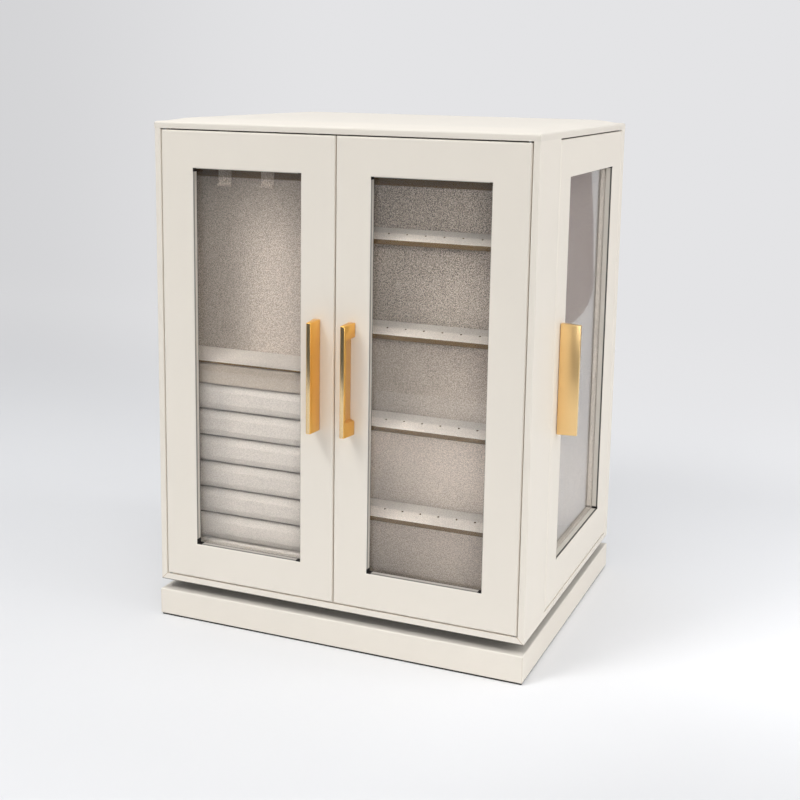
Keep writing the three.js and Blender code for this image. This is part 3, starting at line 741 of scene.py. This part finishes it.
class CABINET_OT_ring_cushion(bpy.types.Operator):
    """Fills the ring cushion: six stuffed rolls between two padded strips"""

    bl_idname = "cabinet.ring_cushion"
    bl_label = "Ring cushion"

    def execute(self, context):
        cover = velvet("velvet_roll", 1.25, roll_shade, 0.3, COOL_TINT)
        for number, node in enumerate(ROLLS):
            roll = self.roll(node, cover)
            self.fill(roll, number)
            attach(roll, "case")
            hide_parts(node)
        warm = (1.0, 0.985, 0.95)
        strips = {"ring_head_strip": velvet("velvet_head_strip", 1.03, head_strip_shade, 0.3, warm),
                  "ring_foot_strip": velvet("velvet_foot_strip", 1.32, speckle=0.3, tint=COOL_TINT)}
        for node, pad_cover in strips.items():
            strip = self.strip(node, pad_cover)
            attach(strip, "case")
            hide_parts(node)
        return {"FINISHED"}

    def roll(self, node, cover):
        """One roll's cover before filling: a crowned front, a flat back and drawn-in ends."""
        low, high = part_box(node)
        around, along = 30, 64
        tall = high.z - low.z
        middle = (low.z + high.z) / 2
        recess, square, shrink, end_tuck, end_reach = 0.0042, 3.4, 0.0001, 0.0022, 0.004

        def section(tuck):
            half = tall / 2 - tuck
            points = []
            for step in range(around + 1):
                turn = math.pi * step / around
                rise = math.cos(turn)
                fullness = max(0.0, 1 - abs(rise) ** square) ** (1 / square)
                points.append((low.y + recess * (1 - fullness) + tuck, middle - half * rise))
            back = high.y - tuck
            for share in (0.33, 0.66, 1.0):
                points.append((points[around][0] + (back - points[around][0]) * share, middle + half))
            for share in (0.25, 0.5, 0.75, 1.0):
                points.append((back, middle + half - 2 * half * share))
            for share in (0.34, 0.67):
                points.append((back + (points[0][0] - back) * share, middle - half))
            return points

        form = bmesh.new()
        loops = []
        for step in range(along + 1):
            share = step / along
            x = low.x + (high.x - low.x) * share
            near = min(x - low.x, high.x - x)
            tuck = shrink + end_tuck * max(0.0, 1 - near / end_reach) ** 2
            loops.append([form.verts.new((x, y, z)) for y, z in section(tuck)])
        count = len(loops[0])
        for loop, following in zip(loops, loops[1:]):
            for index in range(count):
                after = (index + 1) % count
                form.faces.new((loop[index], loop[after], following[after], following[index]))
        for loop in (loops[0], loops[-1]):
            form.faces.new(loop)
        return from_bmesh(f"{node}_cover", form, cover, 80)

    def fill(self, roll, number):
        """Blows the cover up a little as cloth, caps how far it moved and keeps the result."""
        chance = random.Random(40 + number)
        jitter, steps = 0.00006, 20
        start = [vertex.co.copy() for vertex in roll.data.vertices]
        for vertex in roll.data.vertices:
            vertex.co += Vector([chance.uniform(-1, 1) * jitter for _ in range(3)])
        cloth = roll.modifiers.new("Cloth", "CLOTH")
        cloth.settings.quality = 5
        cloth.settings.mass = 0.15
        cloth.settings.tension_stiffness = 12
        cloth.settings.compression_stiffness = 6
        cloth.settings.bending_stiffness = 0.3
        cloth.settings.use_pressure = True
        cloth.settings.uniform_pressure_force = 4
        cloth.settings.effector_weights.gravity = 0
        cloth.collision_settings.use_collision = False
        scene = bpy.context.scene
        for step in range(1, steps + 1):
            scene.frame_set(step)
        graph = bpy.context.evaluated_depsgraph_get()
        shaped = roll.evaluated_get(graph)
        moved = [vertex.co.copy() for vertex in shaped.data.vertices]
        roll.modifiers.clear()
        scene.frame_set(1)
        cap = sizes().puff
        low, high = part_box(ROLLS[number])
        for vertex, origin, end in zip(roll.data.vertices, start, moved):
            travel = end - origin
            if travel.length > cap:
                travel = travel * (cap / travel.length)
            vertex.co = [min(max(part, least), most) for part, least, most in zip(origin + travel, low, high)]

    def strip(self, node, cover):
        """A padded strip in the place of its solid, its front edges rounded."""
        face, skin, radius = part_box(node)[0].y, 1e-5, 0.0014
        form = form_of(node)
        front = [edge for edge in form.edges
                 if all(vertex.co.y < face + skin for vertex in edge.verts)]
        round_edges(form, radius, 4, edges=front)
        return from_bmesh(f"{node}_pad", form, cover, 60)


class CABINET_OT_panes(bpy.types.Operator):
    """Glazes the four doors"""

    bl_idname = "cabinet.panes"
    bl_label = "Panes"

    def execute(self, context):
        pane = pane_finish()
        for door in DOORS:
            dress(f"{door}_glass", pane)
        return {"FINISHED"}


class CABINET_OT_pulls(bpy.types.Operator):
    """Casts the four pulls with polished edges and a hatched pocket, and screws them on from inside"""

    bl_idname = "cabinet.pulls"
    bl_label = "Pulls"

    def execute(self, context):
        satin = gold_finish("gold_satin", colours().gold)
        hatched = gold_finish("gold_hatched", (1.0, 0.51, 0.13), 0.3, True, 0.3)
        polished = gold_finish("gold_polished", colours().rim_gold_with_reflection, 0.2)
        soft = gold_finish("gold_pale", colours().pale_gold)
        steel = steel_finish()
        for door in DOORS:
            platings = (satin, hatched, polished) if door in FRONT_DOORS else (soft, hatched, polished)
            pull = self.pull(door, platings)
            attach(pull, door)
            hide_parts(f"{door}_pull")
            screws = self.screws(door, steel)
            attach(screws, door)
        return {"FINISHED"}

    def pull(self, door, platings):
        """Rounds the solid's edges and marks the faces inside its pocket and on its polished rim."""
        form = form_of(f"{door}_pull")
        low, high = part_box(f"{door}_pull")
        inside = 0.0012
        if door in FRONT_DOORS:
            axis, away, outermost, skin = 0, 1, -low.y, 0.0003
        else:
            axis, away, outermost, skin = 1, 0, max(-low.x, high.x), 0.0008
        for face in form.faces:
            middle = face.calc_center_median()
            sideways = abs(face.normal[axis]) > 0.9
            deep = min(abs(middle[axis] - low[axis]), abs(middle[axis] - high[axis])) > inside
            outer = abs(middle[away]) > outermost - skin
            face.material_index = 1 if sideways and deep else 2 if outer else 0
        round_edges(form, sizes().edge, 2)
        pull = from_bmesh(f"{door}_cast_pull", form, platings[0], 40)
        for plating in platings[1:]:
            pull.data.materials.append(plating)
        return pull

    def screws(self, door, steel):
        """Two pan-head screws on the inner face, one behind each foot of the pull."""
        low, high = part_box(f"{door}_pull")
        frame_low, frame_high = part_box(f"{door}_frame")
        centre = (low + high) / 2
        foot_middle = 0.0045
        form = bmesh.new()
        for z in (low.z + foot_middle, high.z - foot_middle):
            if door in FRONT_DOORS:
                seat, axis = Vector((centre.x, frame_high.y, z)), Vector((0, 1, 0))
            elif door == "side_door_right":
                seat, axis = Vector((frame_low.x, centre.y, z)), Vector((-1, 0, 0))
            else:
                seat, axis = Vector((frame_high.x, centre.y, z)), Vector((1, 0, 0))
            self.screw_into(form, seat, axis)
        return from_bmesh(f"{door}_pull_screws", form, steel, 40)

    def screw_into(self, form, seat, axis):
        """A domed head with a cross recess."""
        turn = Vector((0, 0, 1)).rotation_difference(axis).to_matrix()
        profile = [(0.0029, -0.0006), (0.0029, 0.0004), (0.0026, 0.0009), (0.0019, 0.00125)]
        arm, waist, crown, deep = 0.00155, 0.0006, 0.0013, 0.0008
        angles = [2 * math.pi * side / 24 for side in range(24)]

        def ring(radii, rise):
            places = [(radius * math.cos(angle), radius * math.sin(angle), rise)
                      for radius, angle in zip(radii, angles)]
            return [form.verts.new(seat + turn @ Vector(place)) for place in places]

        rings = [ring([radius] * len(angles), rise) for radius, rise in profile]
        base = rings[0]
        near = [min(abs(math.sin(angle)), abs(math.cos(angle))) for angle in angles]
        cross = ring([arm if part < 0.3 else waist for part in near], crown)
        floor = [form.verts.new(vertex.co - axis * deep) for vertex in cross]
        rings += [cross, floor]
        for loop, following in zip(rings, rings[1:]):
            for side in range(len(loop)):
                after = (side + 1) % len(loop)
                form.faces.new((loop[side], loop[after], following[after], following[side]))
        form.faces.new(base)
        form.faces.new(floor)


class CABINET_OT_hardware(bpy.types.Operator):
    """Plates the bearing, the pivot pins and the magnets that hold the front doors"""

    bl_idname = "cabinet.hardware"
    bl_label = "Bearing, pins and magnets"

    def execute(self, context):
        steel = bpy.data.materials["steel"]
        for node in BEARING:
            dress(node, steel)
        for door in DOORS:
            for end in ("foot", "head"):
                dress(f"{door}_pin_{end}", steel)
        self.magnets(steel)
        self.plate_screws(steel)
        return {"FINISHED"}

    def magnets(self, steel):
        """Magnets in the divider's front edge, and a strike plate behind each front door's stile."""
        low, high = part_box("front_divider")
        inset, radius, thick, proud = 0.03, 0.0021, 0.0016, 0.0003
        heights = (low.z + inset, high.z - inset)
        form = bmesh.new()
        for z in heights:
            disc_into(form, radius, thick, (0.0, low.y - proud, z), (0, 1, 0))
        round_edges(form, 0.0002, 2)
        magnets = from_bmesh("divider_magnets", form, steel, 40)
        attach(magnets, "case")
        for door in FRONT_DOORS:
            frame_low, frame_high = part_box(f"{door}_frame")
            margin, width, half_height, sunk = 0.0008, 0.0075, 0.007, 0.0004
            left = frame_high.x - margin - width if door == "front_door_left" else frame_low.x + margin
            form = bmesh.new()
            for z in heights:
                block_into(form, (left, frame_high.y - sunk, z - half_height),
                           (left + width, frame_high.y + proud, z + half_height))
            round_edges(form, 0.00018, 2)
            plates = from_bmesh(f"{door}_strike_plates", form, steel, 40)
            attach(plates, door)

    def plate_screws(self, steel):
        """Screw heads at the corners of the bearing's two plates."""
        for node, body, side in (("bearing_lower_plate", "base", 1), ("bearing_upper_plate", "case", -1)):
            low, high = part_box(node)
            level = high.z if side > 0 else low.z
            inset, radius, thick, lift = 0.009, 0.0032, 0.0016, 0.0004
            form = bmesh.new()
            for x in (low.x + inset, high.x - inset):
                for y in (low.y + inset, high.y - inset):
                    disc_into(form, radius, thick, (x, y, level + side * lift), (0, 0, 1))
            round_edges(form, 0.0004, 2)
            heads = from_bmesh(f"{node}_screws", form, steel, 40)
            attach(heads, body)


# Studio

class CABINET_OT_stage(bpy.types.Operator):
    """Sets the studio: a pale sweep, soft lamps, the world and the camera"""

    bl_idname = "cabinet.stage"
    bl_label = "Stage"

    def execute(self, context):
        context.scene.view_settings.view_transform = "Standard"
        self.sweep()
        self.flag()
        self.world()
        for lamp in LAMPS:
            self.lamp(*lamp)
        self.camera()
        return {"FINISHED"}

    def sweep(self):
        """A floor that turns up into a backdrop."""
        front, bend_start, bend, half_width, head = -0.75, 1.6, 0.9, 3.2, 3.2
        profile = [(front, 0.0), (bend_start, 0.0)]
        for step in range(1, 13):
            angle = math.pi / 2 * step / 12
            profile.append((bend_start + bend * math.sin(angle), bend * (1 - math.cos(angle))))
        profile.append((bend_start + bend, head))
        form = bmesh.new()
        rows = [[form.verts.new((x, y, z)) for x in (-half_width, half_width)] for y, z in profile]
        for row, following in zip(rows, rows[1:]):
            form.faces.new((row[0], row[1], following[1], following[0]))
        sweep = from_bmesh("studio_sweep", form, self.paper(), 60)

    def paper(self):
        """Pale paper with painted light and shade across the floor and up the backdrop, lighter beside the
        cabinet to ease its shadow. It glows far off, and near the cabinet where the panes mirror it, a
        painted reflection.
        """
        paint = Paint("sweep")
        place, x, y, z = paint.place()
        cloud = paint.noise(place, 0.4)
        away = paint.span(y, -0.1, 0.8)
        left = paint.span(x, 0.0, -0.8)
        rise = paint.span(z, 0.1, 1.2)
        apart = paint.node("ShaderNodeVectorMath", {"operation": "DISTANCE"}, {
            0: place, 1: (0.2, 0.06, 0)}, "Value")
        # Painted light beside the cabinet, easing its shadow on the floor
        beside = paint.span(apart, 0.35, 0.0)
        near = paint.span(y, -0.08, -0.3)
        corner = paint.span(x, 0.08, 0.26) * paint.span(y, 0.0, -0.14)
        tone = 0.97 - away * left * 0.12 + rise * 0.2 + beside * 0.11 - near * 0.1 - corner * 0.1
        # Painted light on the floor to the cabinet's right, on its shadow side
        right = paint.span(x, 0.1, 0.3) * paint.span(y, -0.2, 0.1)
        far_left = paint.span(x, -0.12, -0.4)
        tone = tone - far_left * 0.06 + right * 0.06 + cloud * 0.01
        colour = paint.mix(1.0, colours().floor, paint.grey(tone), "MULTIPLY")
        paper = paint.surface(Base_Color=colour, Roughness=0.8, Specular_IOR_Level=0.2)
        # The glow: seen far off by the camera, and a painted reflection where the panes and metal mirror the
        # floor near the cabinet
        centre_x, centre_y, least = 0.34, -0.83, 0.3
        bearing = (x - centre_x) / (y - centre_y).higher(least)
        level = paint.span(bearing, -0.85, -0.45, 0.66, 0.775) + paint.span(y, 1.2, 0.2) * 0.04
        level = level + paint.span(y, 0.34, 0.12) * paint.span(x, 0.1, 0.2) * 0.12
        pale = paint.mix(1.0, (1.0, 1.0, 1.02), paint.grey(level), "MULTIPLY")
        glow = paint.node("ShaderNodeEmission", inputs={"Color": pale})
        rays = paint.node("ShaderNodeLightPath", output="Is Camera Ray")
        mirrored = (rays.out("Is Glossy Ray") + rays.out("Is Transmission Ray")).lower(1.0)
        far = paint.span(y, 0.05, 0.9)
        around = paint.span(apart, 0.08, 0.36) * paint.span(y, -0.5, -0.1)
        return paint.done(paint.node("ShaderNodeMixShader", inputs={
            0: (rays * far).higher(mirrored * around), 1: paper, 2: glow}))

    def flag(self):
        """A grey panel with a rounded corner, out of view to the right, that glows only for mirrored rays: a
        painted reflection in the side pane.
        """
        left, right, foot, head, corner, deep = 0.26, 0.8, 0.077, 0.6, 0.062, 0.6
        lean, bow = 0.035, 0.003
        outline = [(right, foot), (right, head), (left + lean, head), (left + bow, foot + 2.2 * corner)]
        for step in range(9):
            angle = math.pi + math.pi / 2 * step / 8
            outline.append((left + corner * (1 + math.cos(angle)), foot + corner * (1 + math.sin(angle))))
        form = bmesh.new()
        form.faces.new([form.verts.new((x, deep, z)) for x, z in outline])
        bmesh.ops.solidify(form, geom=form.faces[:], thickness=0.01)
        paint = Paint("flag")
        place, *_ = paint.place()
        shade = paint.noise(place, 0.2) * 0.1 + 0.95
        cloth = paint.surface(Base_Color=paint.grey(shade * 0.28), Roughness=0.9, Specular_IOR_Level=0.1)
        # Painted reflection: the tint that the panel glows in the side pane
        tint = paint.mix(1.0, (0.37, 0.325, 0.33), paint.grey(shade), "MULTIPLY")
        glow = paint.node("ShaderNodeEmission", inputs={"Color": tint})
        mirrored = paint.node("ShaderNodeLightPath", output="Is Glossy Ray")
        surface = paint.done(paint.node("ShaderNodeMixShader", inputs={0: mirrored, 1: cloth, 2: glow}))
        flag = from_bmesh("studio_flag", form, surface)
        flag.visible_camera = flag.visible_diffuse = flag.visible_shadow = False

    def world(self):
        """Soft light from above, in a pale room that is dim only towards the photographer's side."""
        paint = Paint("studio", world=True)
        direction = paint.node("ShaderNodeTexCoord", output="Generated")
        parts = paint.node("ShaderNodeSeparateXYZ", inputs={0: direction})
        overhead = parts.out("Z").higher(0.0).maths("POWER", 3.0) * 1.7
        rays = paint.node("ShaderNodeLightPath", output="Is Camera Ray")
        behind = paint.span(parts.out("Y"), -0.7, -0.2, 0.12, 1.0)
        seen = rays + rays.out("Is Transmission Ray") + rays.out("Is Glossy Ray") * behind
        strength = overhead.higher(seen.lower(1.0) * 0.77)
        bpy.context.scene.world = paint.done(paint.node("ShaderNodeBackground", inputs={
            "Color": (0.955, 0.975, 1.01, 1.0), "Strength": strength}))

    def lamp(self, name, angles, distance, size, power):
        """An oblong lamp that faces the middle of the case. Azimuth runs to the right from the front."""
        azimuth, height = (math.radians(angle) for angle in angles)
        target = Vector((0, 0, 0.18))
        away = Vector((math.sin(azimuth) * math.cos(height), -math.cos(azimuth) * math.cos(height),
                       math.sin(height)))
        data = bpy.data.lights.new(name, "AREA")
        data.shape = "RECTANGLE"
        data.size, data.size_y = size
        data.energy = power
        lamp = link(name, data)
        lamp.location = target + away * distance
        lamp.rotation_euler = (-away).to_track_quat("-Z", "Y").to_euler()

    def camera(self):
        """Sets the camera at the photograph's viewpoint."""
        yaw, pitch, roll = (math.radians(angle) for angle in (CAMERA_YAW, CAMERA_PITCH, CAMERA_ROLL))
        ahead = Vector((-math.sin(yaw) * math.cos(pitch), math.cos(yaw) * math.cos(pitch), math.sin(pitch)))
        level = Vector((math.cos(yaw), math.sin(yaw), 0))
        upright = level.cross(ahead)
        right = math.cos(roll) * level + math.sin(roll) * upright
        up = -math.sin(roll) * level + math.cos(roll) * upright
        data = bpy.data.cameras.new("camera")
        data.sensor_width = 36.0
        data.lens = data.sensor_width * FOCAL_PIXELS / FRAME_PIXELS
        data.shift_y = -0.125
        data.clip_start = 0.05
        camera = link("camera", data)
        turn = Matrix((right, up, -ahead)).transposed().to_4x4()
        camera.matrix_world = Matrix.Translation(CAMERA_PLACE) @ turn
        bpy.context.scene.camera = camera


# Panel and start

class CABINET_PT_panel(bpy.types.Panel):
    """Lists the cabinet's pieces in the sidebar"""

    bl_idname = "CABINET_PT_panel"
    bl_label = "Earring cabinet"
    bl_space_type = "VIEW_3D"
    bl_region_type = "UI"
    bl_category = "Cabinet"

    def draw(self, context):
        column = self.layout.column()
        for operator in OPERATORS:
            column.operator(operator.bl_idname)
        for group in (context.scene.cabinet_sizes, context.scene.cabinet_colours):
            for name in group.__annotations__:
                column.prop(group, name)


OPERATORS = (CABINET_OT_leather, CABINET_OT_top, CABINET_OT_velvet, CABINET_OT_ring_cushion,
             CABINET_OT_panes, CABINET_OT_pulls, CABINET_OT_hardware, CABINET_OT_stage)
GROUPS = (CabinetSizes, CabinetColours)


def register():
    for item in GROUPS + OPERATORS + (CABINET_PT_panel,):
        bpy.utils.register_class(item)
    bpy.types.Scene.cabinet_sizes = bpy.props.PointerProperty(type=CabinetSizes)
    bpy.types.Scene.cabinet_colours = bpy.props.PointerProperty(type=CabinetColours)


def unregister():
    del bpy.types.Scene.cabinet_colours
    del bpy.types.Scene.cabinet_sizes
    for item in reversed(GROUPS + OPERATORS + (CABINET_PT_panel,)):
        bpy.utils.unregister_class(item)


def main():
    register()
    for operator in OPERATORS:
        space, name = operator.bl_idname.split(".")
        getattr(getattr(bpy.ops, space), name)()


if __name__ == "__main__":
    main()
